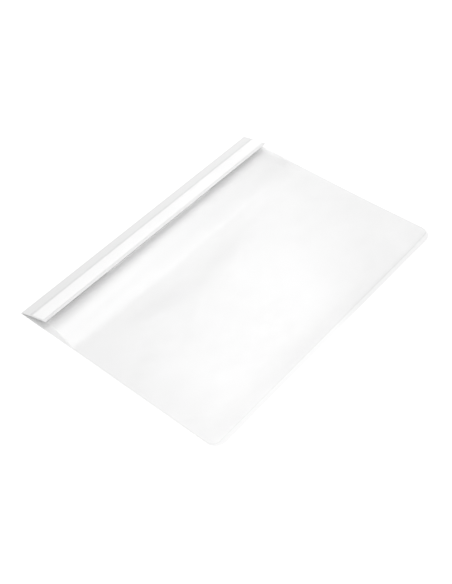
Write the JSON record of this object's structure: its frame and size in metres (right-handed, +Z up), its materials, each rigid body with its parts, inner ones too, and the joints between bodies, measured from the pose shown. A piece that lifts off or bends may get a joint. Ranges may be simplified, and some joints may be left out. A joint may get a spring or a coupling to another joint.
{
  "type": "fastener folder",
  "caption": "A4 plastic report folder: white back cover with a spine flap and label strip, clear front cover, and a prong fastener inside for punched sheets.",
  "frame": {"origin": "on the table under the middle of the closed folder", "axes": "+Y runs along the spine to the folder's head, +Z points up out of the back cover, and the spine lies on the -X side"},
  "size_m": [0.23, 0.31, 0.0077],
  "materials": {
    "white_sheet": "satin opaque polypropylene sheet",
    "clear_film": "clear polypropylene film",
    "label_paper": "plain white paper",
    "zinc_steel": "zinc-plated strip steel"
  },
  "bodies": {
    "back": {"back_cover": "white_sheet", "fastener_carrier": "white_sheet", "prong_fastener": "zinc_steel", "compressor_bar": "zinc_steel"},
    "front": {"front_flap": "white_sheet", "clear_front_cover": "clear_film", "label_pocket": "clear_film", "paper_label": "label_paper"}
  },
  "joints": [
    {"name": "front_cover_fold", "type": "hinge", "parent": "back", "child": "front", "pos_m": [-0.115, 0, 0.0005], "axis": [0, -1, 0], "range_deg": [0, 162]}
  ]
}
